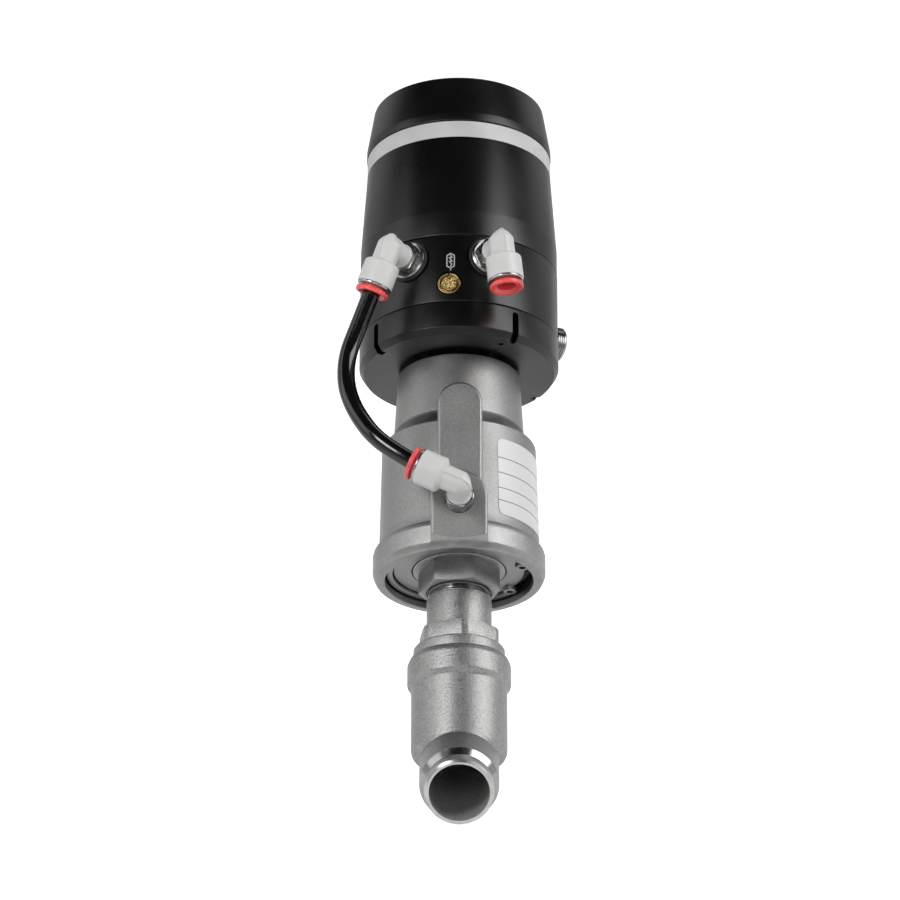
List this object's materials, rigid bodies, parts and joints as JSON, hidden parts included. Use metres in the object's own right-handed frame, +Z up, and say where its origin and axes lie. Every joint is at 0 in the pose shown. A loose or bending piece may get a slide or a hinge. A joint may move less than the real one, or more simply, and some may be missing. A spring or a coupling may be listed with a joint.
{
  "type": "pneumatic control valve",
  "caption": "Angle-seat globe valve with a 45 degree stem, steel piston actuator, black round positioner, push-in elbows and a looped air tube.",
  "frame": {"origin": "centre of the inlet weld end's face, on the pipe axis", "axes": "+Y runs along the pipe from inlet to outlet, +Z is up, +X is to the right when looking into the inlet; the stem rises from the pipe at 45 degrees between +Y and +Z"},
  "size_m": [0.0781, 0.2196, 0.2032],
  "materials": {
    "cast_stainless": "bead-blasted stainless steel casting",
    "machined_stainless": "fine turned stainless steel",
    "spring_steel": "drawn spring steel",
    "ptfe": "white PTFE",
    "black_rubber": "black nitrile rubber",
    "blank_label": "white film label, left blank",
    "black_housing": "satin black, fine grain",
    "light_guide": "white translucent light guide",
    "inner_plastic": "dark moulded plastic",
    "circuit_board": "green solder mask",
    "display_glass": "dark display window and keys",
    "nickel_plate": "nickel plate",
    "brass": "bare brass",
    "fitting_plastic": "pale grey glass-filled plastic",
    "red_plastic": "red acetal",
    "black_tube": "black polyurethane air tube"
  },
  "bodies": {
    "valve": {"valve_body": "cast_stainless", "bonnet": "cast_stainless", "bonnet_gasket": "ptfe", "guide_bush": "ptfe", "packing_spring": "spring_steel", "packing_rings": "ptfe", "packing_gland": "machined_stainless"},
    "trim": {"stem": "machined_stainless", "plug": "machined_stainless", "plug_seal": "ptfe", "plug_nut": "machined_stainless", "piston": "machined_stainless", "piston_seal": "black_rubber", "piston_nut": "machined_stainless", "spring_seat": "machined_stainless", "feedback_spindle": "machined_stainless", "position_magnet": "spring_steel"},
    "cap": {"top_cap": "black_housing"},
    "supply_swivel": {"supply_elbow": "fitting_plastic", "supply_collar": "nickel_plate"},
    "supply_push_ring": {"supply_release_ring": "red_plastic"},
    "outlet_push_ring": {"outlet_release_ring": "red_plastic"},
    "actuator_push_ring": {"actuator_release_ring": "red_plastic"},
    "actuator": {"coupling_nut": "cast_stainless", "stem_seal": "black_rubber", "lock_nut": "machined_stainless", "actuator_cylinder": "cast_stainless", "end_cover": "machined_stainless", "cover_seal": "black_rubber", "retaining_ring": "spring_steel", "return_spring": "spring_steel", "spindle_seal": "black_rubber", "name_label": "blank_label", "positioner_base": "black_housing", "adapter_screws": "nickel_plate", "positioner_housing": "black_housing", "positioner_cover": "black_housing", "light_ring": "light_guide", "control_block": "inner_plastic", "pilot_valves": "inner_plastic", "position_sensor": "inner_plastic", "circuit_board": "circuit_board", "standoffs": "nickel_plate", "key_panel": "inner_plastic", "display_and_keys": "display_glass", "connector_shell": "nickel_plate", "connector_insert": "inner_plastic", "connector_pins": "brass", "silencer": "brass", "air_tube": "black_tube", "outlet_stud_seal": "black_rubber", "outlet_stud": "nickel_plate", "outlet_elbow": "fitting_plastic", "outlet_collar": "nickel_plate", "supply_stud_seal": "black_rubber", "supply_stud": "nickel_plate", "actuator_stud": "nickel_plate", "actuator_elbow": "fitting_plastic", "actuator_collar": "nickel_plate"}
  },
  "joints": [
    {"name": "actuator_turn", "type": "hinge", "parent": "valve", "child": "actuator", "pos_m": [0, 0.0295, 0], "axis": [0, 0.7071, 0.7071], "continuous": true},
    {"name": "stem_lift", "type": "slide", "parent": "valve", "child": "trim", "axis": [0, 0.7071, 0.7071], "range_m": [0, 0.01], "stiffness_N_per_m": 15000, "springref_m": -0.01, "deforming": ["return_spring"]},
    {"name": "cap_lift", "type": "slide", "parent": "actuator", "child": "cap", "axis": [0, 0.7071, 0.7071], "range_m": [0, 0.025]},
    {"name": "supply_elbow_swivel", "type": "hinge", "parent": "actuator", "child": "supply_swivel", "pos_m": [0.01021, 0.12604, 0.14204], "axis": [0.3024, -0.674, 0.674], "continuous": true},
    {"name": "supply_ring_push", "type": "slide", "parent": "supply_swivel", "child": "supply_push_ring", "axis": [-0.1046, 0.6794, 0.7263], "range_m": [0, 0.0008], "stiffness_N_per_m": 300},
    {"name": "outlet_ring_push", "type": "slide", "parent": "actuator", "child": "outlet_push_ring", "axis": [0.3481, 0.5054, 0.7896], "range_m": [0, 0.0008], "stiffness_N_per_m": 300},
    {"name": "actuator_ring_push", "type": "slide", "parent": "actuator", "child": "actuator_push_ring", "axis": [0.9018, -0.3055, -0.3055], "range_m": [0, 0.0008], "stiffness_N_per_m": 300}
  ]
}
